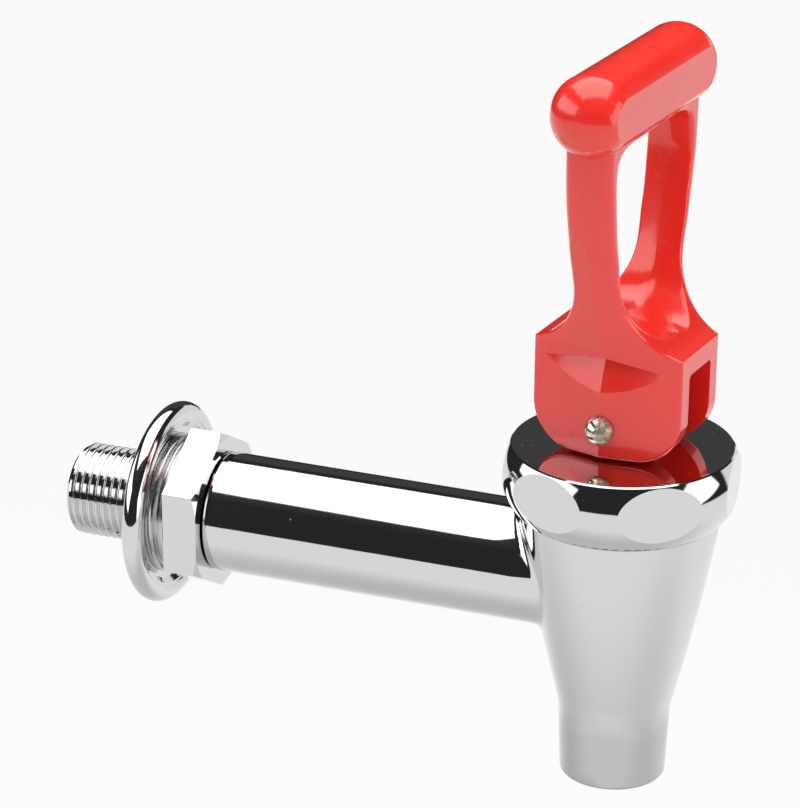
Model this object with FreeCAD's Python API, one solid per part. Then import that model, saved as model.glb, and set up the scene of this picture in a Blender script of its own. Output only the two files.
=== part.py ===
"""Boiler faucet: a self-closing tap with a loop handle, for the wall of a hot-water boiler.

Millimetres, +Z up. The origin is the centre of the wall flange's back face, on the shank's axis.
+X points out of the wall, along the shank, to the valve under the handle.
"""
import FreeCAD
import Part
import math
import os

V = FreeCAD.Vector
X_AXIS = V(1, 0, 0)
Y_AXIS = V(0, 1, 0)
Z_AXIS = V(0, 0, 1)

# Shank: a G 1/2 pipe thread, then the thicker tube that carries the valve
thread_major_r = 10.48
thread_inner_r = 10.28
tail_length = 19.4
tail_chamfer = 1.2
tail_relief_r = 9.3
tail_relief_length = 1.6
tube_wall_end_r = 13.55
tube_valve_end_r = 13.3
tube_start_x = 16.0
tube_edge_round = 0.6
inlet_bore_r = 6.8
tube_bore_r = 9.8
tube_bore_start = 5.0
running_clearance = 0.1

# Wall flange
flange_r = 23.06
flange_rim_r = 2.35
flange_seat_thickness = 3.0
flange_web_thickness = 4.1
flange_seat_r = 17.4
flange_seat_slope = 1.2
flange_back_recess = 0.8
flange_back_land = 3.4
flange_hole_clearance = 0.35

# Lock nut: a hexagon with a ringed round collar
nut_flats = 32.8
nut_collar_r = 15.9
nut_collar_length = 4.8
nut_ring_count = 3
nut_ring_height = 0.45
nut_hex_chamfer = 0.9
nut_hex_turn = 0.8
nut_shoulder_gap = 0.2

# Valve body: a cone that runs down into the spout
stem_axis_x = 109.2
cone_top_z = 16.4
cone_top_r = 21.9
cone_bulge_z = -5.0
cone_bulge_r = 18.1
spout_top_z = -30.0
spout_top_r = 12.35
spout_end_z = -46.6
spout_end_r = 11.67
spout_lip_round = 0.9
spout_bore_r = 9.2
junction_fillet = 2.6
neck_r = 19.4
neck_height = 5.6
chamber_wall = 3.0
chamber_floor_z = -13.5
seat_throat_r = 7.0
seat_lip_height = 1.4
seat_lip_width = 1.6
seat_throat_depth = 5.0

# Bonnet
bonnet_gap = 0.1
bonnet_height = 14.7
bonnet_top_r = 24.2
bonnet_bulge_r = 26.1
bonnet_bulge_drop = 6.9
bonnet_rim_r = 23.0
bonnet_flat_lip = 0.1
bonnet_flat_count = 6
bonnet_flat_turn = 6.9
bonnet_crown = 0.9
bonnet_crown_edge = 0.5
bonnet_edge_chamfer = 0.3
bonnet_roof = 4.0
spring_chamber_r = 11.2

# Seat cup
cup_rim_thickness = 2.2
cup_rim_clearance = 0.2
cup_wall = 1.5
cup_neck_r = 12.6
cup_foot_r = 10.2
cup_foot_height = 6.5
cup_foot_chamfer = 1.2
cup_fold_drop = 2.0
cup_seat_gap = 0.3

# Stem and spring
stem_r = 5.0
stem_hole_clearance = 0.1
stem_collar_r = 8.6
stem_collar_thickness = 1.8
stem_collar_z = 4.0
stem_foot_r = 5.6
stem_foot_height = 2.6
stem_waist_r = 3.4
stem_waist_length = 2.4
stem_eye_reach = 5.6
socket_clearance = 0.15
spring_wire_r = 0.7
spring_mean_r = 7.2
spring_coils = 6
spring_end_gap = 0.3
spring_wire_sides = 8

# Handle, in its own frame: x across the block, y along the pin and the bar, z up
handle_turn = -6.1
handle_rest_gap = 0.3
block_half_width = 17.0
block_half_depth = 13.1
block_height = 23.8
block_corner_r = 9.6
block_edge_round = 0.9
mould_draft = 10.7
shoulder_r = 16.8
leg_half_width = 5.3
leg_edge_round = 2.2
leg_top_reach = 24.2
shoulder_steps = 6
leg_steps = 5
loop_edge_round = 1.0
loop_half_width = 18.5
slot_half_width = 5.7
slot_height = 19.5
slot_corner_r = 1.2
recess_half_width = 14.4
recess_foot_height = 15.0
recess_end_height = 20.4
recess_crest_height = 23.0
recess_depth = 2.7
recess_ridge_shift = 1.6
bar_half_length = 29.5
bar_r = 8.75
bar_axis_height = 78.0
bar_flat_distance = 7.5
bar_end_round = 8.2
loop_floor = 4.8
loop_bar_bite = 0.15
loop_flank = [(0.32, 0.01), (0.58, 0.078), (0.75, 0.213), (0.86, 0.397), (0.96, 0.642),
              (1.0, 0.831), (0.94, 0.951), (0.70, 0.995), (0.32, 1.0)]

# Pin
pin_height = 6.5
pin_r = 1.9
pin_head_r = 3.2
pin_head_height = 3.1
pin_seat_depth = 0.2
pin_seat_clearance = 0.3
pin_hole_clearance = 0.05

# Planes and places that follow from the sizes above
tail_end_x = -tail_length
nut_end_x = tube_start_x - nut_shoulder_gap
bonnet_rim_z = cone_top_z + bonnet_gap
bonnet_top_z = bonnet_rim_z + bonnet_height
bonnet_flat_distance = bonnet_top_r + bonnet_flat_lip
bonnet_ceiling_z = bonnet_top_z - bonnet_roof
neck_top_z = cone_top_z + neck_height
cup_rim_top_z = neck_top_z + cup_rim_thickness
crown_top_z = bonnet_top_z + bonnet_crown
seat_top_z = chamber_floor_z + seat_lip_height
cup_foot_z = seat_top_z + cup_seat_gap
handle_base_z = crown_top_z + handle_rest_gap
pin_z = handle_base_z + pin_height
bonnet_bore_r = neck_r + running_clearance
loop_bottom_height = block_height + loop_floor
loop_top_height = bar_axis_height - bar_r + loop_bar_bite

# How far the middle of a quarter round of radius 1 lies inside both of its sides
quarter_inset = 1 - math.sqrt(0.5)


def revolve_about(points, axis_point, axis):
    """Solid turned from a closed outline of points in the XZ plane."""
    wire = Part.makePolygon(points + [points[0]])
    return Part.Face(wire).revolve(axis_point, axis, 360)


def stem_point(r, z):
    """A point at radius r and height z beside the stem's axis."""
    return V(stem_axis_x + r, 0, z)


def turned_on_stem(outline):
    """Solid turned about the stem's axis from (radius, height) pairs."""
    points = [stem_point(r, z) for r, z in outline]
    return revolve_about(points, stem_point(0, 0), Z_AXIS)


def turned_on_shank(outline):
    """Solid turned about the shank's axis from (x, radius) pairs."""
    points = [V(x, 0, r) for x, r in outline]
    return revolve_about(points, V(0, 0, 0), X_AXIS)


def cylinder_on_stem(r, bottom_z, top_z):
    """Upright cylinder on the stem's axis."""
    return Part.makeCylinder(r, top_z - bottom_z, stem_point(0, bottom_z), Z_AXIS)


def cylinder_on_shank(r, start_x, end_x):
    """Cylinder along the shank's axis."""
    return Part.makeCylinder(r, end_x - start_x, V(start_x, 0, 0), X_AXIS)


def face_of(edges):
    """Flat face inside a ring of edges."""
    return Part.Face(Part.Wire(Part.__sortEdges__(edges)))


def line(start, end):
    """Straight edge."""
    return Part.LineSegment(start, end).toShape()


def arc(start, middle, end):
    """Arc edge through three points."""
    return Part.Arc(start, middle, end).toShape()


def curve(points):
    """Smooth edge through points."""
    spline = Part.BSplineCurve()
    spline.interpolate(points)
    return spline.toShape()


def edges_where(shape, wanted):
    """Edges whose whole length lies where the test holds."""
    found = []
    for edge in shape.Edges:
        samples = edge.discretize(7)
        if all(wanted(point) for point in samples):
            found.append(edge)
    return found


def valve_cone():
    """Outer form of the valve chamber and the spout, turned in one."""
    shoulder = stem_point(cone_top_r, cone_top_z)
    bulge = stem_point(cone_bulge_r, cone_bulge_z)
    spout_top = stem_point(spout_top_r, spout_top_z)
    lip = stem_point(spout_end_r, spout_end_z + spout_lip_round)
    lip_inset = quarter_inset * spout_lip_round
    lip_middle = stem_point(spout_end_r - lip_inset, spout_end_z + lip_inset)
    lip_end = stem_point(spout_end_r - spout_lip_round, spout_end_z)
    neck_foot = stem_point(neck_r, cone_top_z)
    neck_edge = stem_point(neck_r, neck_top_z)
    edges = [
        arc(shoulder, bulge, spout_top),
        line(spout_top, lip),
        arc(lip, lip_middle, lip_end),
        line(lip_end, stem_point(0, spout_end_z)),
        line(stem_point(0, spout_end_z), stem_point(0, neck_top_z)),
        line(stem_point(0, neck_top_z), neck_edge),
        line(neck_edge, neck_foot),
        line(neck_foot, shoulder),
    ]
    return face_of(edges).revolve(stem_point(0, 0), Z_AXIS, 360)


def cone_radius(z):
    """Outer radius of the cone at height z, on the straight line between its named sections."""
    if z > cone_bulge_z:
        share = (z - cone_bulge_z) / (cone_top_z - cone_bulge_z)
        return cone_bulge_r + share * (cone_top_r - cone_bulge_r)
    share = (z - spout_top_z) / (cone_bulge_z - spout_top_z)
    return spout_top_r + share * (cone_bulge_r - spout_top_r)


def faucet_body():
    """Casting: threaded tail, shank tube, valve cone, seat and spout.

    The thread's crests are a little lower under the flange and the nut than behind the wall.
    """
    edge_inset = quarter_inset * tube_edge_round
    tube = turned_on_shank([
        (tube_start_x, 0),
        (tube_start_x, tube_wall_end_r - tube_edge_round),
        (tube_start_x + edge_inset, tube_wall_end_r - edge_inset),
        (tube_start_x + tube_edge_round, tube_wall_end_r),
        (stem_axis_x, tube_valve_end_r),
        (stem_axis_x, 0),
    ])
    body = valve_cone().fuse(tube).removeSplitter()

    def on_junction(point):
        beside = math.hypot(point.x - stem_axis_x, point.y)
        from_shank = math.hypot(point.y, point.z)
        on_cone = abs(beside - cone_radius(point.z)) < 1.0
        return point.x < stem_axis_x and on_cone and abs(from_shank - tube_valve_end_r) < 0.3

    body = body.makeFillet(junction_fillet, edges_where(body, on_junction))
    tail = turned_on_shank([
        (tail_end_x, 0),
        (tail_end_x, thread_major_r - tail_chamfer),
        (tail_end_x + tail_chamfer, thread_major_r),
        (0, thread_major_r),
        (0, thread_inner_r),
        (tube_start_x - tail_relief_length, thread_inner_r),
        (tube_start_x - tail_relief_length, tail_relief_r),
        (tube_start_x, tail_relief_r),
        (tube_start_x, 0),
    ])
    body = body.fuse(tail)
    chamber = turned_on_stem([
        (0, chamber_floor_z),
        (cone_radius(chamber_floor_z) - chamber_wall, chamber_floor_z),
        (neck_r - chamber_wall, cone_top_z - chamber_wall),
        (neck_r - chamber_wall, neck_top_z),
        (0, neck_top_z),
    ])
    seat_lip = cylinder_on_stem(seat_throat_r + seat_lip_width, chamber_floor_z, seat_top_z)
    throat_end_z = chamber_floor_z - seat_throat_depth
    throat = cylinder_on_stem(seat_throat_r, throat_end_z, seat_top_z)
    spout_bore = cylinder_on_stem(spout_bore_r, spout_end_z, throat_end_z)
    wide_start_x = tube_start_x + tube_bore_start
    inlet = turned_on_shank([
        (tail_end_x, 0),
        (tail_end_x, inlet_bore_r),
        (wide_start_x, inlet_bore_r),
        (wide_start_x + tube_bore_r - inlet_bore_r, tube_bore_r),
        (stem_axis_x, tube_bore_r),
        (stem_axis_x, 0),
    ])
    return body.cut(chamber.cut(seat_lip)).cut(throat).cut(spout_bore).cut(inlet)


def wall_flange():
    """Round flange: a rolled rim, a flat web and a sunken seat for the nut's collar."""
    rim_centre_r = flange_r - flange_rim_r
    hole_r = thread_major_r + flange_hole_clearance
    web = turned_on_shank([
        (flange_back_recess, hole_r),
        (flange_seat_thickness, hole_r),
        (flange_seat_thickness, flange_seat_r),
        (flange_web_thickness, flange_seat_r + flange_seat_slope),
        (flange_web_thickness, rim_centre_r),
        (0, rim_centre_r),
        (0, rim_centre_r - flange_back_land),
        (flange_back_recess, rim_centre_r - flange_back_land),
    ])
    rim = Part.makeTorus(rim_centre_r, flange_rim_r, V(flange_rim_r, 0, 0), X_AXIS)
    return web.fuse(rim).removeSplitter()


def lock_nut():
    """Hexagon nut whose ringed round collar bears on the flange."""
    corner_r = nut_flats / math.sqrt(3)
    hex_start_x = flange_seat_thickness + nut_collar_length
    corners = []
    for side in range(7):
        angle = math.radians(nut_hex_turn + 60 * side)
        corners.append(V(hex_start_x, -corner_r * math.sin(angle), corner_r * math.cos(angle)))
    hexagon = Part.Face(Part.makePolygon(corners)).extrude(V(nut_end_x - hex_start_x, 0, 0))
    envelope = turned_on_shank([
        (hex_start_x, 0),
        (hex_start_x, corner_r),
        (nut_end_x - nut_hex_chamfer, corner_r),
        (nut_end_x, corner_r - 2 * nut_hex_chamfer),
        (nut_end_x, 0),
    ])
    ring_spacing = nut_collar_length / nut_ring_count
    groove_r = nut_collar_r - nut_ring_height
    outline = [(flange_seat_thickness, 0)]
    for index in range(nut_ring_count):
        ring_x = flange_seat_thickness + index * ring_spacing
        outline.append((ring_x, groove_r))
        outline.append((ring_x + 0.25 * ring_spacing, nut_collar_r))
        outline.append((ring_x + 0.75 * ring_spacing, nut_collar_r))
    outline += [(hex_start_x, groove_r), (hex_start_x, 0)]
    bore_r = thread_major_r + running_clearance
    bore = cylinder_on_shank(bore_r, flange_seat_thickness, nut_end_x)
    return hexagon.common(envelope).fuse(turned_on_shank(outline)).removeSplitter().cut(bore)


def bonnet():
    """Barrel-shaped cap with six milled flats and a slightly crowned polished top."""
    edge = stem_point(bonnet_top_r, bonnet_top_z - bonnet_edge_chamfer)
    chamfer_top = stem_point(bonnet_top_r - bonnet_edge_chamfer, bonnet_top_z)
    bulge = stem_point(bonnet_bulge_r, bonnet_top_z - bonnet_bulge_drop)
    rim = stem_point(bonnet_rim_r, bonnet_rim_z)
    crown_foot_r = bonnet_top_r - bonnet_edge_chamfer - bonnet_crown_edge
    crown_foot = stem_point(crown_foot_r, bonnet_top_z)
    crown_middle = stem_point(0.5 * crown_foot_r, bonnet_top_z + 0.75 * bonnet_crown)
    crown_top = stem_point(0, crown_top_z)
    edges = [
        curve([edge, bulge, rim]),
        line(rim, stem_point(0, bonnet_rim_z)),
        line(stem_point(0, bonnet_rim_z), crown_top),
        arc(crown_top, crown_middle, crown_foot),
        line(crown_foot, chamfer_top),
        line(chamfer_top, edge),
    ]
    cap = face_of(edges).revolve(stem_point(0, 0), Z_AXIS, 360)
    for side in range(bonnet_flat_count):
        mill = Part.makeBox(bonnet_bulge_r, 2 * bonnet_bulge_r, 2 * bonnet_height)
        mill.translate(V(bonnet_flat_distance, -bonnet_bulge_r, bonnet_rim_z - 0.5 * bonnet_height))
        angle = bonnet_flat_turn + side * 360 / bonnet_flat_count
        mill.rotate(V(0, 0, 0), Z_AXIS, angle)
        mill.translate(V(stem_axis_x, 0, 0))
        cap = cap.cut(mill)
    bore = cylinder_on_stem(bonnet_bore_r, bonnet_rim_z, cup_rim_top_z)
    spring_chamber = cylinder_on_stem(spring_chamber_r, cup_rim_top_z, bonnet_ceiling_z)
    stem_hole = cylinder_on_stem(stem_r + stem_hole_clearance, bonnet_ceiling_z, crown_top_z)
    return cap.cut(bore).cut(spring_chamber).cut(stem_hole)


def seat_cup():
    """Silicone cup: clamped rim, thin folding wall and a thick foot that shuts the seat."""
    foot_top_z = cup_foot_z + cup_foot_height
    foot_space_z = foot_top_z - stem_waist_length
    foot_bottom_z = foot_space_z - stem_foot_height - socket_clearance
    rim_r = bonnet_bore_r - cup_rim_clearance
    return turned_on_stem([
        (0, cup_foot_z),
        (cup_foot_r - cup_foot_chamfer, cup_foot_z),
        (cup_foot_r, cup_foot_z + cup_foot_chamfer),
        (cup_foot_r, foot_top_z),
        (cup_neck_r, neck_top_z - cup_fold_drop),
        (cup_neck_r + cup_wall, neck_top_z),
        (rim_r, neck_top_z),
        (rim_r, cup_rim_top_z),
        (cup_neck_r, cup_rim_top_z),
        (cup_neck_r - cup_wall, neck_top_z - cup_fold_drop),
        (cup_foot_r - cup_wall, foot_top_z),
        (stem_waist_r + socket_clearance, foot_top_z),
        (stem_waist_r + socket_clearance, foot_space_z),
        (stem_foot_r + socket_clearance, foot_space_z),
        (stem_foot_r + socket_clearance, foot_bottom_z),
        (0, foot_bottom_z),
    ])


def stem():
    """Turned stem: button foot, waist, spring collar, rod and a rounded eye for the pin."""
    waist_top_z = cup_foot_z + cup_foot_height
    foot_top_z = waist_top_z - stem_waist_length - socket_clearance
    foot_z = foot_top_z - stem_foot_height + socket_clearance
    collar_top_z = stem_collar_z + stem_collar_thickness
    top_z = pin_z + stem_eye_reach
    rod = turned_on_stem([
        (0, foot_z),
        (stem_foot_r, foot_z),
        (stem_foot_r, foot_top_z),
        (stem_waist_r, foot_top_z),
        (stem_waist_r, waist_top_z + socket_clearance),
        (stem_r, waist_top_z + socket_clearance),
        (stem_r, stem_collar_z),
        (stem_collar_r, stem_collar_z),
        (stem_collar_r, collar_top_z),
        (stem_r, collar_top_z),
        (stem_r, top_z),
        (0, top_z),
    ])
    dome = Part.makeCylinder(stem_eye_reach, 4 * stem_r, V(0, -2 * stem_r, pin_z), Y_AXIS)
    shaft = Part.makeBox(4 * stem_r, 4 * stem_r, pin_z - foot_z, V(-2 * stem_r, -2 * stem_r, foot_z))
    envelope = dome.fuse(shaft)
    envelope.rotate(V(0, 0, 0), Z_AXIS, handle_turn)
    envelope.translate(V(stem_axis_x, 0, 0))
    return rod.common(envelope).cut(pin_rod(pin_r + pin_hole_clearance))


def spring():
    """Compression spring between the bonnet's ceiling and the stem's collar, ends ground flat."""
    bottom_z = stem_collar_z + stem_collar_thickness + spring_end_gap
    top_z = bonnet_ceiling_z - spring_end_gap
    pitch = (top_z - bottom_z) / (spring_coils - 1)
    helix = Part.makeHelix(pitch, spring_coils * pitch, spring_mean_r)
    corners = []
    for side in range(spring_wire_sides + 1):
        angle = side * 2 * math.pi / spring_wire_sides
        corners.append(V(spring_mean_r + spring_wire_r * math.cos(angle), 0, spring_wire_r * math.sin(angle)))
    section = Part.makePolygon(corners)
    coil = Part.Wire(helix).makePipeShell([section], True, True)
    coil.translate(stem_point(0, bottom_z - 0.5 * pitch))
    slice_r = 2 * spring_mean_r
    return coil.common(cylinder_on_stem(slice_r, bottom_z, top_z))


def pin_rod(r):
    """Long rod on the pin's axis, turned with the handle."""
    reach = 2 * block_half_depth
    rod = Part.makeCylinder(r, 2 * reach, V(0, -reach, 0), Y_AXIS)
    return placed_with_handle(rod, pin_z)


def placed_with_handle(shape, height):
    """Move a shape from the handle's own frame to its place over the stem."""
    shape.rotate(V(0, 0, 0), Z_AXIS, handle_turn)
    shape.translate(stem_point(0, height))
    return shape


def block_outline():
    """Front view of the block: flat foot, rounded lower corners and straight sides."""
    foot = block_half_width - block_corner_r
    inset = quarter_inset * block_corner_r
    edges = [line(V(-foot, 0, 0), V(foot, 0, 0))]
    for side in (1, -1):
        corner_middle = V(side * (block_half_width - inset), 0, inset)
        corner_top = V(side * block_half_width, 0, block_corner_r)
        edges.append(arc(V(side * foot, 0, 0), corner_middle, corner_top))
        edges.append(line(corner_top, V(side * block_half_width, 0, block_height)))
    edges.append(line(V(-block_half_width, 0, block_height), V(block_half_width, 0, block_height)))
    return face_of(edges)


def fork_block():
    """Block at the handle's foot, drawn in from its middle crease by the mould's draft."""
    fall = 2 * block_half_width * math.tan(math.radians(mould_draft))
    reach = 2 * block_half_width
    plan = Part.Face(Part.makePolygon([
        V(0, block_half_depth, 0),
        V(reach, block_half_depth - fall, 0),
        V(reach, fall - block_half_depth, 0),
        V(0, -block_half_depth, 0),
        V(-reach, fall - block_half_depth, 0),
        V(-reach, block_half_depth - fall, 0),
        V(0, block_half_depth, 0),
    ]))
    slab = block_outline().extrude(V(0, 4 * block_half_depth, 0))
    slab.translate(V(0, -2 * block_half_depth, 0))
    block = slab.common(plan.extrude(V(0, 0, block_height)))

    def on_broad_face_rim(point):
        crease = abs(point.x) < 0.01
        return not crease and point.z < block_height - 0.01

    def wanted(edge):
        middle = edge.valueAt(0.5 * (edge.FirstParameter + edge.LastParameter))
        across = edge.BoundBox.XLength < 0.01 and edge.BoundBox.ZLength < 0.01
        return on_broad_face_rim(middle) and not across

    return block.makeFillet(block_edge_round, [edge for edge in block.Edges if wanted(edge)])


def leg_section(z, half_width, reach, corner_r, side):
    """Plan section of one leg, from the handle's middle plane to its creased outer face."""
    draft = math.radians(mould_draft)
    turn = 0.25 * math.pi - 0.5 * draft
    corner_y = reach - half_width * math.tan(draft)
    setback = corner_r * math.tan(turn)
    edges = []
    for half in (1, -1):
        foot = V(half * half_width, 0, z)
        side_end = V(half * half_width, side * (corner_y - setback), z)
        bend = V(half * (half_width - corner_r + corner_r * math.cos(turn)),
                 side * (corner_y - setback + corner_r * math.sin(turn)), z)
        face_end = V(half * (half_width - setback * math.cos(draft)),
                     side * (corner_y + setback * math.sin(draft)), z)
        stretch = [line(foot, side_end), arc(side_end, bend, face_end), line(face_end, V(0, side * reach, z))]
        edges += stretch if half > 0 else stretch[::-1]
    edges.append(line(V(-half_width, 0, z), V(half_width, 0, z)))
    return Part.Wire(Part.__sortEdges__(edges))


def leg(side):
    """One leg: flares out of the block's shoulder and leans outwards up into the bar."""
    shoulder_x = leg_half_width + shoulder_r
    start = math.acos((shoulder_x - block_half_width) / shoulder_r)
    shoulder_top = block_height + shoulder_r * math.sin(start)
    lean_top = bar_axis_height - bar_r
    sections = []
    for step in range(shoulder_steps + 1):
        angle = start * (1 - step / shoulder_steps)
        half_width = shoulder_x - shoulder_r * math.cos(angle)
        sections.append((shoulder_top - shoulder_r * math.sin(angle), half_width, step / shoulder_steps))
    for step in range(1, leg_steps + 1):
        sections.append((shoulder_top + step / leg_steps * (bar_axis_height - shoulder_top), leg_half_width, 1))
    wires = []
    for z, half_width, share in sections:
        lean = min(1, (z - block_height) / (lean_top - block_height))
        reach = block_half_depth + (leg_top_reach - block_half_depth) * math.sin(0.5 * math.pi * lean)
        corner_r = block_edge_round + share * (leg_edge_round - block_edge_round)
        wires.append(leg_section(z, half_width, reach, corner_r, side))
    return Part.makeLoft(wires, True, False)


def loop_wire(x):
    """Outline of the finger loop on the plane at x, opened by the mould's draft."""
    inset = abs(x) * math.tan(math.radians(mould_draft))
    middle = 0.5 * (loop_bottom_height + loop_top_height)
    spread = 1 + inset / (middle - loop_bottom_height)
    height = loop_top_height - loop_bottom_height
    flank = []
    for across, up in loop_flank:
        flank.append((spread * across * loop_half_width, middle + spread * (up - 0.5) * height))
    bottom = [V(x, 0, middle + spread * (loop_bottom_height - middle))]
    top = [V(x, 0, middle + spread * (loop_top_height - middle))]
    right = [V(x, y, z) for y, z in flank]
    left = [V(x, -y, z) for y, z in reversed(flank)]
    ring = Part.BSplineCurve()
    ring.interpolate(Points=bottom + right + top + left, PeriodicFlag=True)
    turn = ring.parameter(top[0])
    first = ring.copy()
    first.segment(ring.FirstParameter, turn)
    second = ring.copy()
    second.segment(turn, ring.LastParameter)
    return Part.Wire([first.toShape(), second.toShape()])


def finger_loop():
    """Cutter for the finger loop, drawn both ways from the parting plane x = 0."""
    reach = block_half_width + 1.0
    halves = [Part.makeLoft([loop_wire(0), loop_wire(side * reach)], True, True) for side in (1, -1)]
    return halves[0].fuse(halves[1])


def grip_bar():
    """Round bar with full round ends and a flat panel on each broad side."""
    bar = Part.makeCylinder(bar_r, 2 * bar_half_length, V(0, -bar_half_length, bar_axis_height), Y_AXIS)
    ends = edges_where(bar, lambda point: abs(abs(point.y) - bar_half_length) < 0.01)
    bar = bar.makeFillet(bar_end_round, ends)
    core = Part.makeBox(2 * bar_flat_distance, 4 * bar_half_length, 4 * bar_r,
                        V(-bar_flat_distance, -2 * bar_half_length, bar_axis_height - 2 * bar_r))
    return bar.common(core)


def thumb_recess(side, half):
    """Scoop in one mould half of one broad face, deepest under its upper edge."""
    lean = recess_depth / (recess_crest_height - recess_foot_height)
    end_depth = lean * (recess_end_height - recess_foot_height)
    half_chord = recess_half_width + recess_ridge_shift
    scoop_r = (half_chord ** 2 + end_depth ** 2) / (2 * end_depth)
    reach = 2 * block_height
    scoop = Part.makeCylinder(scoop_r, 2 * reach, V(-half * recess_ridge_shift, scoop_r, -reach), Z_AXIS)
    scoop.rotate(V(0, 0, 0), X_AXIS, math.degrees(math.atan(lean)))
    scoop.rotate(V(0, 0, 0), Z_AXIS, -half * mould_draft)
    scoop.translate(V(0, block_half_depth, recess_foot_height))
    fall = (recess_crest_height - recess_end_height) / recess_half_width
    window = Part.Face(Part.makePolygon([
        V(0, 0, 0),
        V(0, 0, recess_crest_height),
        V(half * block_half_width, 0, recess_crest_height - fall * block_half_width),
        V(half * block_half_width, 0, 0),
        V(0, 0, 0),
    ])).extrude(V(0, 2 * block_half_depth, 0))
    scoop = scoop.common(window)
    if side < 0:
        scoop = scoop.mirror(V(0, 0, 0), Y_AXIS)
    return scoop


def handle():
    """Moulded loop handle: forked block, two splayed legs and the grip bar."""
    form = fork_block().fuse([leg(1), leg(-1)]).removeSplitter().cut(finger_loop())
    rim_reach = loop_half_width + leg_half_width * math.tan(math.radians(mould_draft))

    def in_loop(point):
        return abs(point.x) > loop_edge_round and abs(point.y) < rim_reach + loop_edge_round

    rims = [edge for edge in edges_where(form, in_loop) if edge.BoundBox.ZLength > loop_half_width]
    form = form.makeFillet(loop_edge_round, rims).fuse(grip_bar()).removeSplitter()
    slot = Part.makeBox(4 * block_half_width, 2 * slot_half_width, 2 * slot_height,
                        V(-2 * block_half_width, -slot_half_width, -slot_height))
    slot = slot.makeFillet(slot_corner_r, edges_where(slot, lambda point: abs(point.z - slot_height) < 0.01
                                                      and abs(abs(point.y) - slot_half_width) < 0.01))
    form = form.cut(slot)
    for side in (1, -1):
        for half in (1, -1):
            form = form.cut(thumb_recess(side, half))
        seat_start = side * (block_half_depth - pin_seat_depth)
        seat = Part.makeCylinder(pin_head_r + pin_seat_clearance, block_half_depth,
                                 V(0, seat_start, pin_height), V(0, side, 0))
        form = form.cut(seat)
    form = placed_with_handle(form, handle_base_z)
    return form.cut(pin_rod(pin_r))


def handle_pin():
    """Pin with a domed head at each end."""
    seat_height = block_half_depth - pin_seat_depth
    dome_r = (pin_head_r ** 2 + pin_head_height ** 2) / (2 * pin_head_height)
    top_height = seat_height + pin_head_height
    half_turn = 0.5 * math.asin(pin_head_r / dome_r)
    dome_middle = V(dome_r * math.sin(half_turn), 0, top_height - dome_r * (1 - math.cos(half_turn)))
    edges = [
        line(V(0, 0, 0), V(pin_r, 0, 0)),
        line(V(pin_r, 0, 0), V(pin_r, 0, seat_height)),
        line(V(pin_r, 0, seat_height), V(pin_head_r, 0, seat_height)),
        arc(V(0, 0, top_height), dome_middle, V(pin_head_r, 0, seat_height)),
        line(V(0, 0, top_height), V(0, 0, 0)),
    ]
    half = face_of(edges).revolve(V(0, 0, 0), Z_AXIS, 360)
    pin = half.fuse(half.mirror(V(0, 0, 0), Z_AXIS)).removeSplitter()
    pin.rotate(V(0, 0, 0), X_AXIS, 90)
    return placed_with_handle(pin, pin_z)


nodes = {
    "faucet_body": faucet_body,
    "wall_flange": wall_flange,
    "lock_nut": lock_nut,
    "bonnet": bonnet,
    "seat_cup": seat_cup,
    "stem": stem,
    "spring": spring,
    "handle": handle,
    "handle_pin": handle_pin,
}

os.makedirs("parts", exist_ok=True)
for name, build in nodes.items():
    shape = build()
    print(name, shape.ShapeType, len(shape.Solids), shape.isValid(), round(shape.Volume, 1))
    shape.exportStep("parts/" + name + ".step")
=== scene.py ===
"""Looks of a boiler faucet: chrome casting with a cut pipe thread, red moulded handle, studio."""

import logging
import math
from dataclasses import dataclass, field
from enum import Enum
from typing import Any, Mapping, Optional, Sequence, Union

import bmesh
import bpy
from mathutils import Matrix, Vector


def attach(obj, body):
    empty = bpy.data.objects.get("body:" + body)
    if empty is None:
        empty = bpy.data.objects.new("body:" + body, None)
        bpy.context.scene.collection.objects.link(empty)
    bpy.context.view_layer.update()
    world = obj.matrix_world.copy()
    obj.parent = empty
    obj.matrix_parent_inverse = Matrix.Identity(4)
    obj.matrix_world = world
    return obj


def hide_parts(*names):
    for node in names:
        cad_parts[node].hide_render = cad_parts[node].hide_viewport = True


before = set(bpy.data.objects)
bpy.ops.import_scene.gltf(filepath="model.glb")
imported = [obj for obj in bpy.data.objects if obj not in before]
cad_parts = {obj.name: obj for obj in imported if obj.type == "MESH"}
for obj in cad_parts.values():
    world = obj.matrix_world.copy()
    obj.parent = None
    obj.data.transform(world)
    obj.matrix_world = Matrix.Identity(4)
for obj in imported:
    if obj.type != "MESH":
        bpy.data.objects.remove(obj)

log = logging.getLogger("boiler_faucet")

Colour = tuple[float, float, float, float]
Amount = Union["Value", float, int]
Point = tuple[float, float, float]

MERGE_DISTANCE = 2e-7
"""Metres: closes the borders that the frame's meshes have between CAD faces."""
RING_TOLERANCE = 0.00002
"""Metres: how far a vertex may lie from the ring that it is picked for."""
STEM_AXIS: Point = (0.1092, 0.0, 0.0)
"""A point of the stem's axis, level with the shank."""
PIN_CENTRE: Point = (0.1092, 0.0, 0.0389)
"""Middle of the handle's pin."""
HANDLE_TURN = math.radians(-6.1)
"""How far the handle stands turned about the stem at rest."""


def grey(level: float) -> Colour:
    """An opaque neutral colour of that linear level."""
    return (level, level, level, 1.0)


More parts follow.
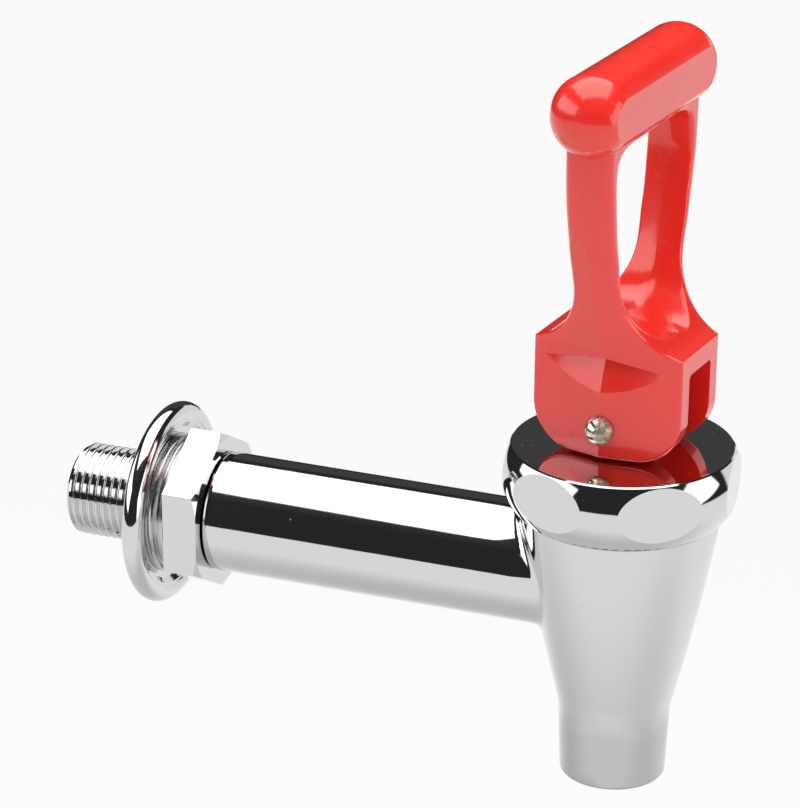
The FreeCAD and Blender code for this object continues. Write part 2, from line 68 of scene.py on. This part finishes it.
class Value:
    """A number that leaves a shader node and takes part in sums."""

    def __init__(self, tree: "Tree", socket: bpy.types.NodeSocket) -> None:
        """Keep the tree that the number lives in and the socket that it leaves."""
        self.tree = tree
        self.socket = socket

    def _maths(self, operation: str, *terms: Amount) -> "Value":
        """A Math node of that operation on the terms.

        Args:
            operation: The Math node's operation.
            *terms: Its inputs, in order.

        Returns:
            The node's result.
        """
        node = self.tree.node("ShaderNodeMath", {"operation": operation}, dict(enumerate(terms)))
        return Value(self.tree, node.outputs[0])

    def __add__(self, other: Amount) -> "Value":
        """self + other."""
        return self._maths("ADD", self, other)

    def __radd__(self, other: Amount) -> "Value":
        """other + self."""
        return self._maths("ADD", other, self)

    def __sub__(self, other: Amount) -> "Value":
        """self - other."""
        return self._maths("SUBTRACT", self, other)

    def __rsub__(self, other: Amount) -> "Value":
        """other - self."""
        return self._maths("SUBTRACT", other, self)

    def __mul__(self, other: Amount) -> "Value":
        """self * other."""
        return self._maths("MULTIPLY", self, other)

    def __rmul__(self, other: Amount) -> "Value":
        """other * self."""
        return self._maths("MULTIPLY", other, self)

    def __truediv__(self, other: Amount) -> "Value":
        """self / other."""
        return self._maths("DIVIDE", self, other)

    def __pow__(self, other: Amount) -> "Value":
        """self ** other."""
        return self._maths("POWER", self, other)

    def __abs__(self) -> "Value":
        """The size of the number, without its sign."""
        return self._maths("ABSOLUTE", self)

    def held(self) -> "Value":
        """The number held between 0 and 1."""
        return self._maths("MINIMUM", self._maths("MAXIMUM", self, 0.0), 1.0)

    def ramp(self, low: float, high: float) -> "Value":
        """0 at low, 1 at high and smooth between.

        Args:
            low: Where the result is 0.
            high: Where the result is 1, over or under low.

        Returns:
            The eased number.
        """
        node = self.tree.node("ShaderNodeMapRange", {"interpolation_type": "SMOOTHSTEP"},
                              {"Value": self, "From Min": low, "From Max": high})
        return Value(self.tree, node.outputs[0])


class Tree:
    """Node tree of one material or of the world, written as expressions."""

    def __init__(self, nodes: bpy.types.NodeTree) -> None:
        """Empty the tree and keep it."""
        self.nodes = nodes
        self.nodes.nodes.clear()

    def node(self, kind: str, settings: Mapping[str, Any],
             inputs: Mapping[Union[str, int], Any]) -> bpy.types.Node:
        """Add a node, set it up and feed its sockets.

        Args:
            kind: The node's type.
            settings: Attributes of the node, set before its sockets. "stops" holds a ramp's stops.
            inputs: A value or a link for each named or numbered socket.

        Returns:
            The new node.
        """
        made = self.nodes.nodes.new(kind)
        for name, setting in settings.items():
            if name == "stops":
                self._set_stops(made.color_ramp, setting)
            else:
                setattr(made, name, setting)
        for name, feed in inputs.items():
            socket = made.inputs[name]
            if isinstance(feed, Value):
                self.nodes.links.new(feed.socket, socket)
            elif isinstance(feed, bpy.types.NodeSocket):
                self.nodes.links.new(feed, socket)
            else:
                socket.default_value = feed
        return made

    @staticmethod
    def _set_stops(ramp: bpy.types.ColorRamp, stops: Sequence[tuple[float, Colour]]) -> None:
        """Give a colour ramp its stops.

        Args:
            ramp: The ramp, with its two first stops.
            stops: Place and colour of each stop, from left to right.
        """
        while len(ramp.elements) < len(stops):
            ramp.elements.new(1.0)
        for element, (place, colour) in zip(ramp.elements, stops):
            element.position = place
            element.color = colour

    def value(self, socket: bpy.types.NodeSocket) -> Value:
        """The number that leaves a socket."""
        return Value(self, socket)

    def place(self) -> bpy.types.NodeSocket:
        """Object coordinates, in metres in the faucet's own frame."""
        return self.node("ShaderNodeTexCoord", {}, {}).outputs["Object"]

    def moved(self, centre: Sequence[float], turn_z: float = 0.0,
              scale: Sequence[float] = (1, 1, 1)) -> bpy.types.NodeSocket:
        """Object coordinates about another centre, turned and scaled.

        Args:
            centre: The new zero, in metres.
            turn_z: Turn of the new axes about Z, in radians.
            scale: Scale along each new axis, after the turn.

        Returns:
            The moved coordinates.
        """
        shifted = self.node("ShaderNodeVectorMath", {"operation": "SUBTRACT"},
                            {0: self.place(), 1: tuple(centre)})
        turned = self.node("ShaderNodeVectorRotate", {"rotation_type": "Z_AXIS"},
                           {"Vector": shifted.outputs[0], "Angle": -turn_z})
        scaled = self.node("ShaderNodeVectorMath", {"operation": "MULTIPLY"},
                           {0: turned.outputs[0], 1: tuple(scale)})
        return scaled.outputs[0]

    def parts(self, vector: bpy.types.NodeSocket) -> tuple[Value, Value, Value]:
        """The three numbers of a vector."""
        split = self.node("ShaderNodeSeparateXYZ", {}, {0: vector})
        across, along, up = (Value(self, socket) for socket in split.outputs)
        return across, along, up

    def along(self, vector: bpy.types.NodeSocket, axis: Sequence[float]) -> Value:
        """How far a vector reaches along a fixed axis.

        Args:
            vector: The vector.
            axis: The axis, of length 1.

        Returns:
            Their dot product.
        """
        node = self.node("ShaderNodeVectorMath", {"operation": "DOT_PRODUCT"},
                         {0: vector, 1: tuple(axis)})
        return Value(self, node.outputs["Value"])

    def noise(self, scale: float, detail: float = 2.0,
              where: Optional[bpy.types.NodeSocket] = None) -> Value:
        """Soft noise about 0.5.

        Args:
            scale: Waves per metre.
            detail: Octaves of finer noise.
            where: Coordinates, or None for the faucet's own.

        Returns:
            The noise.
        """
        feed = {"Vector": where if where is not None else self.place(), "Scale": scale, "Detail": detail}
        return Value(self, self.node("ShaderNodeTexNoise", {}, feed).outputs[0])

    def specks(self, scale: float, size: float) -> Value:
        """Small round dots, 1 in their middle.

        Args:
            scale: Cells per metre, each with one dot.
            size: Dot's radius as a share of its cell.

        Returns:
            The mask.
        """
        cells = self.node("ShaderNodeTexVoronoi", {}, {"Vector": self.place(), "Scale": scale})
        return Value(self, cells.outputs["Distance"]).ramp(size, 0.3 * size)

    def blend(self, share: Amount, first: Any, second: Any) -> bpy.types.NodeSocket:
        """Mix of two colours.

        Args:
            share: How much of the second, from 0 to 1.
            first: Colour or colour socket.
            second: Colour or colour socket.

        Returns:
            The mixed colour.
        """
        node = self.node("ShaderNodeMix", {"data_type": "RGBA"}, {0: share, 6: first, 7: second})
        return node.outputs[2]

    def relief(self, height: Value, depth: float) -> bpy.types.NodeSocket:
        """Normal of a fine relief.

        Args:
            height: The relief, from 0 to 1.
            depth: Its depth in metres.

        Returns:
            The bent normal.
        """
        feed = {"Height": height, "Distance": depth, "Strength": 1.0}
        return self.node("ShaderNodeBump", {}, feed).outputs[0]


@dataclass(frozen=True)
class Finish:
    """A surface finish: the settings that every finish has."""

    name: str
    colour: Colour
    roughness: float

    def material(self) -> bpy.types.Material:
        """Make the material and its nodes."""
        made = bpy.data.materials.new(self.name)
        made.use_nodes = True
        made.diffuse_color = self.colour
        tree = Tree(made.node_tree)
        feeds = {"Base Color": self.colour, "Roughness": self.roughness}
        feeds.update(self.feeds(tree))
        shader = tree.node("ShaderNodeBsdfPrincipled", {}, feeds)
        tree.node("ShaderNodeOutputMaterial", {}, {"Surface": shader.outputs[0]})
        return made

    def feeds(self, tree: Tree) -> dict[str, Any]:
        """Values and links for the shader's sockets."""
        raise NotImplementedError(self.name)


@dataclass(frozen=True)
class Chrome(Finish):
    """Polished chrome plate on a casting: nearly flat, with a little wave, haze, pits and dust.

    Lengths are in metres. The wave is the relief's depth. Below dull_end the plate is duller, before
    hazy_x it is hazy, and at seam_shade_z a painted line of shade, for the gap under the bonnet, lies
    round it. 0 leaves each of them out.
    """

    wave: float = 0.00002
    dust: float = 0.0
    dull_end: float = 0.0
    dull_blur: float = 0.004
    dull_wobble: float = 0.006
    hazy_x: float = 0.0
    hazy_blur: float = 0.0002
    seam_shade_z: float = 0.0
    seam_shade_reach: tuple[float, float] = (0.0007, 0.0004)

    def feeds(self, tree: Tree) -> dict[str, Any]:
        """Sockets of the plate.

        Args:
            tree: The material's tree.

        Returns:
            What feeds each socket.
        """
        slow = tree.noise(60.0, 1.0)
        haze = tree.noise(420.0, 4.0).ramp(0.45, 0.8)
        gate = tree.noise(180.0, 2.0).ramp(0.56, 0.66)
        pits = tree.specks(620.0, 0.13) * gate
        scratch_place = tree.moved((0, 0, 0), 0.5, (300.0, 2600.0, 2600.0))
        scratches = (tree.noise(1.0, 2.0, scratch_place).ramp(0.70, 0.76)
                     * tree.noise(70.0).ramp(0.5, 0.62))
        height = slow * 1.0 + tree.noise(260.0, 2.0) * 0.12 - pits * 0.3 - scratches * 0.06
        colour = tree.blend((pits * 0.35 + scratches * 0.12).held(), self.colour, grey(0.3))
        rough = haze * 0.03 + scratches * 0.08 + pits * 0.2 + self.roughness
        along_x, _, height_above = tree.parts(tree.place())
        if self.hazy_x:
            rough = rough + along_x.ramp(self.hazy_x + self.hazy_blur, self.hazy_x) * 0.16
        if self.seam_shade_z:
            # Painted shade: a thin dark grey, rougher line round the casting just under the bonnet's
            # lower edge, standing in for the shade in the gap between them.
            seam_shade = abs(height_above - self.seam_shade_z).ramp(*self.seam_shade_reach)
            colour = tree.blend(seam_shade * 0.55, colour, grey(0.25))
            rough = rough + seam_shade * 0.15
        if self.dull_end:
            wobbled = height_above + (tree.noise(90.0, 3.0) - 0.5) * self.dull_wobble
            dull = wobbled.ramp(self.dull_end + self.dull_blur, self.dull_end - self.dull_blur)
            colour = tree.blend(dull, colour, grey(0.53))
            rough = rough + dull * 0.07
        metallic: Amount = 1.0
        if self.dust:
            _, _, up = tree.parts(tree.node("ShaderNodeNewGeometry", {}, {}).outputs["Normal"])
            patches = tree.noise(330.0, 2.0).ramp(0.54, 0.62)
            grains = tree.specks(900.0, 0.13) * patches * up.ramp(0.9, 0.99)
            colour = tree.blend(grains * self.dust, colour, grey(0.6))
            rough = rough + grains * 0.4
            metallic = 1.0 - grains * self.dust * 0.8
        return {"Base Color": colour, "Metallic": metallic, "Roughness": rough,
                "Normal": tree.relief(height, self.wave)}


@dataclass(frozen=True)
class RedPlastic(Finish):
    """Glossy moulded plastic with a parting line down its middle plane."""

    deep: Colour = (0.76, 0.018, 0.011, 1.0)
    dusty: Colour = (0.75, 0.35, 0.3, 1.0)

    def feeds(self, tree: Tree) -> dict[str, Any]:
        """Sockets of the plastic.

        Args:
            tree: The material's tree.

        Returns:
            What feeds each socket.
        """
        across, _, _ = tree.parts(tree.moved(STEM_AXIS, HANDLE_TURN))
        parting = abs(across).ramp(0.00022, 0.00004)
        mottle = tree.noise(45.0, 3.0).ramp(0.3, 0.75)
        flow = tree.noise(130.0, 2.0)
        grain = tree.noise(2400.0, 2.0)
        scuffs = tree.noise(300.0, 5.0).ramp(0.6, 0.75)
        dust = tree.specks(420.0, 0.12) * tree.noise(120.0).ramp(0.62, 0.72)
        colour = tree.blend(mottle * 0.35, self.colour, self.deep)
        colour = tree.blend(dust * 0.35, colour, self.dusty)
        colour = tree.blend(parting * 0.12, colour, self.deep)
        rough = self.roughness + scuffs * 0.05 + mottle * 0.03 + dust * 0.3
        height = flow * 1.0 + grain * 0.05 + parting * 0.5
        return {"Base Color": colour, "Roughness": rough, "Normal": tree.relief(height, 0.00003),
                "Coat Weight": 0.65 - scuffs * 0.2, "Coat Roughness": 0.05, "Specular IOR Level": 0.6,
                "IOR": 1.5, "Subsurface Weight": 0.4, "Subsurface Radius": (1.0, 0.10, 0.06),
                "Subsurface Scale": 0.005}


@dataclass(frozen=True)
class WornNickel(Finish):
    """Nickel-plated pin whose domed heads are half polished and half scuffed."""

    base: Colour = (0.42, 0.30, 0.15, 1.0)

    def feeds(self, tree: Tree) -> dict[str, Any]:
        """Sockets of the plate.

        Args:
            tree: The material's tree.

        Returns:
            What feeds each socket.
        """
        across, _, _ = tree.parts(tree.moved(PIN_CENTRE, HANDLE_TURN))
        edge = across + (tree.noise(900.0, 3.0) - 0.5) * 0.0016
        worn = edge.ramp(-0.0002, 0.0008)
        pits = tree.noise(2600.0, 4.0).ramp(0.48, 0.62)
        brown = tree.noise(1100.0, 3.0).ramp(0.45, 0.65)
        colour = tree.blend(worn * (0.25 + 0.6 * brown), self.colour, self.base)
        rough = self.roughness + worn * (0.22 + pits * 0.3)
        height = worn * pits * 0.9 + tree.noise(700.0) * 0.2
        return {"Base Color": colour, "Metallic": 1.0, "Roughness": rough,
                "Normal": tree.relief(height, 0.00012)}


@dataclass(frozen=True)
class TurnedSteel(Finish):
    """Turned or drawn stainless steel with fine rings along the stem's axis."""

    stained: Colour = (0.36, 0.34, 0.31, 1.0)

    def feeds(self, tree: Tree) -> dict[str, Any]:
        """Sockets of the steel.

        Args:
            tree: The material's tree.

        Returns:
            What feeds each socket.
        """
        rings = tree.noise(1.0, 2.0, tree.moved((0, 0, 0), 0.0, (20.0, 20.0, 9000.0)))
        stain = tree.noise(220.0, 3.0).ramp(0.4, 0.75)
        colour = tree.blend(stain * 0.5, self.colour, self.stained)
        rough = self.roughness + rings * 0.12 + stain * 0.08
        return {"Base Color": colour, "Metallic": 1.0, "Roughness": rough,
                "Normal": tree.relief(rings, 0.00001)}


@dataclass(frozen=True)
class Silicone(Finish):
    """Milky moulded silicone with a fine matt skin."""

    cloudy: Colour = (0.55, 0.5, 0.42, 1.0)

    def feeds(self, tree: Tree) -> dict[str, Any]:
        """Sockets of the silicone.

        Args:
            tree: The material's tree.

        Returns:
            What feeds each socket.
        """
        cloud = tree.noise(150.0, 3.0).ramp(0.35, 0.7)
        colour = tree.blend(cloud * 0.5, self.colour, self.cloudy)
        return {"Base Color": colour, "Roughness": self.roughness + cloud * 0.1,
                "Normal": tree.relief(tree.noise(1800.0, 3.0), 0.00002)}


class Plate(Enum):
    """The chromed pieces, and how each one differs from the others."""

    CASTING = Chrome("chrome_casting", grey(0.69), 0.045, wave=0.00004,
                     dull_end=-0.031, seam_shade_z=0.0161)
    FLANGE = Chrome("chrome_flange", grey(0.69), 0.05, wave=0.000015)
    NUT = Chrome("chrome_nut", grey(0.68), 0.055, wave=0.00002, hazy_x=0.0078)
    BONNET = Chrome("chrome_bonnet", grey(0.69), 0.045, wave=0.000015, dust=0.5)


@dataclass
class Casting:
    """The cast body with its pipe thread cut as a real helical groove.

    Lengths are in metres. The thread has the rounded 55 degree form of a G 1/2 pipe thread; flank is
    half of that angle. The groove runs from the tail's end to relief_x. The tube behind it starts at
    tube_start_x and lies outside tube_inside_r.
    """

    crest_r: float = 0.01048
    pitch: float = 0.001814
    round_r: float = 0.000249
    flank: float = math.radians(27.5)
    crest_land: float = 0.00002
    round_steps: int = 4
    tail_end_x: float = -0.0194
    relief_x: float = 0.0145
    clearance: float = 0.0005
    steps_per_turn: int = 40
    smooth_angle: float = math.radians(20.0)
    tube_start_x: float = 0.0166
    tube_inside_r: float = 0.0130
    finish: Chrome = field(default_factory=lambda: Plate.CASTING.value)

    def profile(self) -> list[tuple[float, float]]:
        """Half of the groove as (x, radius) pairs, from its rounded root out past the crest.

        Returns:
            The points, from the root's middle outwards.
        """
        slope = 0.5 * math.pi - self.flank
        centre_x = 0.5 * self.pitch - self.crest_land
        reach_x = centre_x - 2 * self.round_r * math.sin(slope)
        fall = 2 * self.round_r * (1 - math.cos(slope)) + reach_x * math.tan(slope)
        angles = [slope * step / self.round_steps for step in range(self.round_steps + 1)]
        arc = [(self.round_r * math.sin(angle), self.round_r * (1 - math.cos(angle)))
               for angle in angles]
        root = [(aside, self.crest_r - fall + rise) for aside, rise in arc]
        crest = [(centre_x - aside, self.crest_r - rise) for aside, rise in reversed(arc)]
        return root + crest + [(centre_x, self.crest_r + self.clearance)]

    def groove(self) -> bpy.types.Object:
        """Cutter for the thread: a rounded V profile spun along the shank.

        Returns:
            The cutter, a closed mesh.
        """
        half = self.profile()
        profile = [(-x, r) for x, r in reversed(half[1:])] + half
        start_x = self.tail_end_x - 1.5 * self.pitch
        turns = math.ceil((self.relief_x - start_x) / self.pitch)
        bm = bmesh.new()
        ring = [bm.verts.new((start_x + x, 0.0, r)) for x, r in profile]
        edges = [bm.edges.new((ring[i - 1], ring[i])) for i in range(len(ring))]
        steps = turns * self.steps_per_turn
        bmesh.ops.spin(bm, geom=ring + edges, cent=(0, 0, 0), axis=(1, 0, 0),
                       angle=turns * math.tau, steps=steps,
                       dvec=(self.pitch / self.steps_per_turn, 0, 0),
                       use_merge=False, use_duplicate=False)
        bmesh.ops.holes_fill(bm, edges=[edge for edge in bm.edges if edge.is_boundary], sides=0)
        bmesh.ops.triangulate(bm, faces=bm.faces)
        bmesh.ops.recalc_face_normals(bm, faces=bm.faces)
        return as_object(bm, "thread_cutter")

    def crisp_tube_start(self, piece: bpy.types.Object) -> None:
        """Keep the rounded tube end out of the shading of the long tube facets.

        Args:
            piece: The cut casting.
        """
        bm = bmesh.new()
        bm.from_mesh(piece.data)
        for edge in bm.edges:
            places = [vert.co for vert in edge.verts]
            on_ring = all(abs(place.x - self.tube_start_x) < RING_TOLERANCE for place in places)
            outside = all(math.hypot(place.y, place.z) > self.tube_inside_r for place in places)
            if on_ring and outside:
                edge.smooth = False
        bm.to_mesh(piece.data)
        bm.free()

    def build(self) -> bpy.types.Object:
        """Cut the thread into a merged copy of the casting.

        Returns:
            The finished piece, which stands for the plain casting.
        """
        piece = merged_copy("faucet_body", "threaded_casting", self.smooth_angle)
        cutter = self.groove()
        cut = piece.modifiers.new("thread", "BOOLEAN")
        cut.operation = "DIFFERENCE"
        cut.solver = "EXACT"
        cut.object = cutter
        apply_modifiers(piece)
        bpy.data.objects.remove(cutter)
        smooth(piece, self.smooth_angle)
        self.crisp_tube_start(piece)
        dress(piece, self.finish)
        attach(piece, "casting")
        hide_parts("faucet_body")
        return piece


def as_object(bm: bmesh.types.BMesh, name: str) -> bpy.types.Object:
    """Turn a bmesh into an object at the origin.

    Args:
        bm: The mesh, freed afterwards.
        name: The object's name.

    Returns:
        The object, linked to the scene.
    """
    mesh = bpy.data.meshes.new(name)
    bm.to_mesh(mesh)
    bm.free()
    made = bpy.data.objects.new(name, mesh)
    bpy.context.scene.collection.objects.link(made)
    return made


@dataclass(frozen=True)
class CrispZone:
    """A box in which shallow creases stay sharp too."""

    low: Point
    high: Point
    crease: float

    def holds(self, point: Vector) -> bool:
        """Whether the point lies in the box."""
        return all(least <= part <= most
                   for least, part, most in zip(self.low, point, self.high))


def merged_copy(node: str, name: str, crease: float,
                zones: Sequence[CrispZone] = ()) -> bpy.types.Object:
    """Copy a node's mesh with its doubles merged, and smooth all over but at its real creases.

    Args:
        node: The node's name.
        name: The copy's name.
        crease: Where two surfaces meet at more than this angle, in radians, the edge stays sharp.
        zones: Where a smaller angle counts.

    Returns:
        The copy, linked to the scene.
    """
    bm = bmesh.new()
    bm.from_mesh(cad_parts[node].data)
    for edge in bm.edges:
        edge.smooth = not edge.is_boundary
    bmesh.ops.remove_doubles(bm, verts=bm.verts, dist=MERGE_DISTANCE)
    for edge in bm.edges:
        middle = 0.5 * (edge.verts[0].co + edge.verts[1].co)
        limit = min([crease] + [zone.crease for zone in zones if zone.holds(middle)])
        edge.smooth = edge.smooth or edge.calc_face_angle(0.0) < limit
    for face in bm.faces:
        face.smooth = True
    return as_object(bm, name)


def apply_modifiers(piece: bpy.types.Object) -> None:
    """Put the modifiers' result into the piece's own mesh."""
    bpy.context.view_layer.update()
    shown = piece.evaluated_get(bpy.context.evaluated_depsgraph_get())
    result = bpy.data.meshes.new_from_object(shown)
    piece.modifiers.clear()
    piece.data = result


def smooth(piece: bpy.types.Object, angle: float) -> None:
    """Smooth shading with sharp edges over an angle."""
    mesh = piece.data
    mesh.polygons.foreach_set("use_smooth", [True] * len(mesh.polygons))
    mesh.set_sharp_from_angle(angle=angle)


def dress(piece: bpy.types.Object, finish: Finish) -> None:
    """Give a piece one finish all over."""
    piece.data.materials.clear()
    piece.data.materials.append(finish.material())


@dataclass(frozen=True)
class Twin:
    """A piece that has its solid's own form, shaded as the true curved surfaces are."""

    node: str
    name: str
    body: str
    slot: str
    finish: Finish
    crease: float
    flat_faces: bool = False
    zones: tuple[CrispZone, ...] = ()

    def build(self) -> bpy.types.Object:
        """Copy the solid, shade it and let it stand for its node.

        Returns:
            The piece.
        """
        piece = merged_copy(self.node, self.name, self.crease, self.zones)
        if self.flat_faces:
            weights = piece.modifiers.new("flat_faces", "WEIGHTED_NORMAL")
            weights.keep_sharp = True
            apply_modifiers(piece)
        dress(piece, self.finish)
        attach(piece, self.body)
        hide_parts(self.node)
        return piece


def twins() -> list[Twin]:
    """The pieces in view whose curved surfaces mirror the room."""
    red = RedPlastic("red_plastic", (0.84, 0.027, 0.017, 1.0), 0.24)
    nickel = WornNickel("worn_nickel", (0.72, 0.68, 0.58, 1.0), 0.17)
    block = CrispZone((0.0940, -0.0150, 0.0320), (0.1244, 0.0150, 0.0557), math.radians(5.0))
    return [
        Twin("wall_flange", "rolled_flange", "flange_body", "chromed_flange",
             Plate.FLANGE.value, math.radians(12.0)),
        Twin("lock_nut", "ringed_nut", "nut_body", "chromed_nut",
             Plate.NUT.value, math.radians(12.0)),
        Twin("bonnet", "polished_bonnet", "casting", "chromed_bonnet",
             Plate.BONNET.value, math.radians(8.0)),
        Twin("handle", "moulded_handle", "handle_body", "red_plastic",
             red, math.radians(32.0), flat_faces=True, zones=(block,)),
        Twin("handle_pin", "domed_pin", "handle_body", "pin_nickel",
             nickel, math.radians(25.0)),
    ]


@dataclass
class InnerPieces:
    """The pieces inside the valve, whose solids are right as they are and only need their finish."""

    finishes: dict[str, Finish] = field(default_factory=lambda: {
        "stem": TurnedSteel("turned_steel", (0.56, 0.55, 0.53, 1.0), 0.22),
        "spring": TurnedSteel("spring_wire", (0.50, 0.50, 0.49, 1.0), 0.25),
        "seat_cup": Silicone("silicone", (0.72, 0.69, 0.62, 1.0), 0.5),
    })

    def build(self) -> list[str]:
        """Dress each node.

        Returns:
            The names of the dressed nodes.
        """
        for name, finish in self.finishes.items():
            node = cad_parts[name]
            material = finish.material()
            if not node.material_slots:
                node.data.materials.append(material)
            for slot in node.material_slots:
                slot.material = material
        return list(self.finishes)


@dataclass(frozen=True)
class SoftBox:
    """A bright rectangle of the room, as the faucet sees it.

    Angles are in degrees: azimuth from +X towards +Y, elevation up from level, roll about the
    box's own centre. Its half sizes are tangents of the angles that it spans.
    """

    azimuth: float
    elevation: float
    roll: float
    half_width: float
    half_height: float
    level: float
    edge: float = 0.04

    def mask(self, tree: Tree, toward: bpy.types.NodeSocket) -> Value:
        """1 in the directions that the box fills, else 0.

        Args:
            tree: The world's tree.
            toward: The direction of each ray.

        Returns:
            The mask, with soft edges.
        """
        turn = (Matrix.Rotation(math.radians(self.azimuth), 3, "Z")
                @ Matrix.Rotation(-math.radians(self.elevation), 3, "Y")
                @ Matrix.Rotation(math.radians(self.roll), 3, "X"))
        ahead = tree.along(toward, turn @ Vector((1, 0, 0)))
        aside = abs(tree.along(toward, turn @ Vector((0, 1, 0))) / ahead)
        above = abs(tree.along(toward, turn @ Vector((0, 0, 1))) / ahead)
        wide = aside.ramp(self.half_width + self.edge, self.half_width - self.edge)
        high = above.ramp(self.half_height + self.edge, self.half_height - self.edge)
        return wide * high * ahead.ramp(0.0, 0.1)


@dataclass(frozen=True)
class Lamp:
    """A square soft lamp: where it stands, its side in metres and its power in watts."""

    name: str
    place: Point
    size: float
    watts: float
    aim: Point = (0.08, 0.0, 0.02)

    def build(self) -> None:
        """Put the lamp in the scene, out of sight of the metal."""
        data = bpy.data.lights.new(self.name, "AREA")
        data.shape = "SQUARE"
        data.size = self.size
        data.energy = self.watts
        lamp = bpy.data.objects.new(self.name, data)
        toward = Vector(self.aim) - Vector(self.place)
        facing = toward.to_track_quat("-Z", "Y").to_matrix().to_4x4()
        lamp.matrix_world = Matrix.Translation(Vector(self.place)) @ facing
        lamp.visible_glossy = False
        bpy.context.scene.collection.objects.link(lamp)


@dataclass
class Studio:
    """Pale floor, soft light and the camera. Ramp stops run from straight down to straight up."""

    floor_z: float = -0.16
    floor_r: float = 1.0
    eye: Point = (0.31810, -0.67668, 0.32557)
    forward: Point = (-0.33268988, 0.86525516, -0.37503459)
    right: Point = (0.93211611, 0.36206095, 0.00845123)
    up: Point = (-0.14309785, 0.34676415, 0.92697229)
    lens: float = 159.0
    backdrop: float = 0.955
    # Grey of the painted shadow in the floor's glow under the faucet, as the metal mirrors it, and the
    # middle of that painted shadow.
    painted_shadow_level: float = 0.62
    painted_shadow_centre: Point = (0.07, 0.0, 0.0)
    wall_stops: tuple[tuple[float, float], ...] = (
        (0.0, 0.955), (0.40, 0.955), (0.42, 0.025), (0.80, 0.025), (0.90, 0.05), (0.96, 0.10))
    sky_stops: tuple[tuple[float, float], ...] = ((0.0, 0.7), (0.5, 0.5), (0.75, 0.65), (1.0, 1.0))
    lamps: tuple[Lamp, ...] = (
        Lamp("overhead", (-0.05, -0.05, 1.15), 0.8, 10.0),
        Lamp("side", (0.95, -0.35, 0.45), 0.5, 1.5),
    )
    boxes: tuple[SoftBox, ...] = (
        SoftBox(115.0, 80.0, 0.0, 0.76, 0.76, 2.4),
        SoftBox(-154.0, 18.0, 0.0, 0.66, 0.24, 2.2),
        SoftBox(0.0, 8.0, 24.0, 0.52, 0.30, 2.0),
        SoftBox(64.0, 1.0, 0.0, 0.42, 0.20, 0.9),
        SoftBox(108.0, 18.0, 0.0, 0.50, 0.25, 0.06),
    )

    def floor(self) -> None:
        """A round pale floor far below the faucet, which keeps some of its shadow. Its glow, as the
        metal mirrors it, has a painted shadow round the faucet's footprint.
        """
        bm = bmesh.new()
        bmesh.ops.create_circle(bm, cap_ends=True, segments=128, radius=self.floor_r)
        bmesh.ops.translate(bm, verts=bm.verts, vec=(0, 0, self.floor_z))
        floor = as_object(bm, "studio_floor")
        made = bpy.data.materials.new("pale_floor")
        made.use_nodes = True
        tree = Tree(made.node_tree)
        paint = tree.node("ShaderNodeBsdfPrincipled", {}, {"Base Color": grey(0.8), "Roughness": 0.9})
        rays = tree.node("ShaderNodeLightPath", {}, {})
        camera = tree.value(rays.outputs["Is Camera Ray"])
        mirrored = (tree.value(rays.outputs["Is Glossy Ray"])
                    + tree.value(rays.outputs["Is Transmission Ray"]))
        aside, along, _ = tree.parts(tree.moved(self.painted_shadow_centre, 0.0, (0.5, 1.0, 1.0)))
        away = (aside * aside + along * along) ** 0.5
        # Painted shadow: for glossy and transmission rays the floor's glow darkens to a darker grey
        # within about 0.19 m of the faucet.
        shade = away.ramp(0.19, 0.03) * mirrored
        colour = tree.blend(shade, grey(self.backdrop), grey(self.painted_shadow_level))
        glow = tree.node("ShaderNodeEmission", {}, {"Color": colour, "Strength": 1.0})
        seen = camera * (1.0 - away.ramp(0.5, 0.1) * 0.2) + mirrored * 0.9
        both = tree.node("ShaderNodeMixShader", {},
                         {0: seen, 1: paint.outputs[0], 2: glow.outputs[0]})
        tree.node("ShaderNodeOutputMaterial", {}, {"Surface": both.outputs[0]})
        floor.data.materials.append(made)

    def room(self) -> None:
        """Soft sky for the diffuse light, and dark walls with soft boxes for the metal to mirror."""
        world = bpy.data.worlds.new("studio_room")
        world.use_nodes = True
        bpy.context.scene.world = world
        tree = Tree(world.node_tree)
        toward = tree.node("ShaderNodeTexCoord", {}, {}).outputs["Generated"]
        _, _, height = tree.parts(toward)
        level = height * 0.5 + 0.5
        walls, soft = (
            tree.node("ShaderNodeValToRGB", {"stops": [(place, grey(tone)) for place, tone in stops]},
                      {0: level}).outputs[0]
            for stops in (self.wall_stops, self.sky_stops))
        for box in self.boxes:
            walls = tree.blend(box.mask(tree, toward), walls, grey(box.level))
        rays = tree.node("ShaderNodeLightPath", {}, {})
        colour = tree.blend(tree.value(rays.outputs["Is Glossy Ray"]), soft, walls)
        colour = tree.blend(tree.value(rays.outputs["Is Camera Ray"]), colour, grey(self.backdrop))
        sky = tree.node("ShaderNodeBackground", {}, {"Color": colour, "Strength": 1.0})
        tree.node("ShaderNodeOutputWorld", {}, {"Surface": sky.outputs[0]})

    def camera(self) -> None:
        """The camera at the viewing place of the photograph."""
        data = bpy.data.cameras.new("camera")
        data.sensor_width = 36.0
        data.lens = self.lens
        data.clip_start = 0.01
        data.clip_end = 50.0
        camera = bpy.data.objects.new("camera", data)
        axes = Matrix((self.right, self.up, [-part for part in self.forward])).transposed()
        camera.matrix_world = Matrix.Translation(self.eye) @ axes.to_4x4()
        bpy.context.scene.collection.objects.link(camera)
        bpy.context.scene.camera = camera

    def build(self) -> None:
        """Set up the whole studio."""
        self.floor()
        self.room()
        for lamp in self.lamps:
            lamp.build()
        self.camera()
        bpy.context.scene.view_settings.view_transform = "Standard"


def main() -> None:
    """Build every piece in order and report it."""
    logging.basicConfig(level=logging.INFO, format="%(name)s: %(message)s")
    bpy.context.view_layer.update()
    piece = Casting().build()
    log.info("%s: %d faces", piece.name, len(piece.data.polygons))
    for twin in twins():
        log.info("%s: %d faces", twin.name, len(twin.build().data.polygons))
    log.info("dressed nodes: %s", ", ".join(InnerPieces().build()))
    Studio().build()
    log.info("studio ready")


if __name__ == "__main__":
    main()
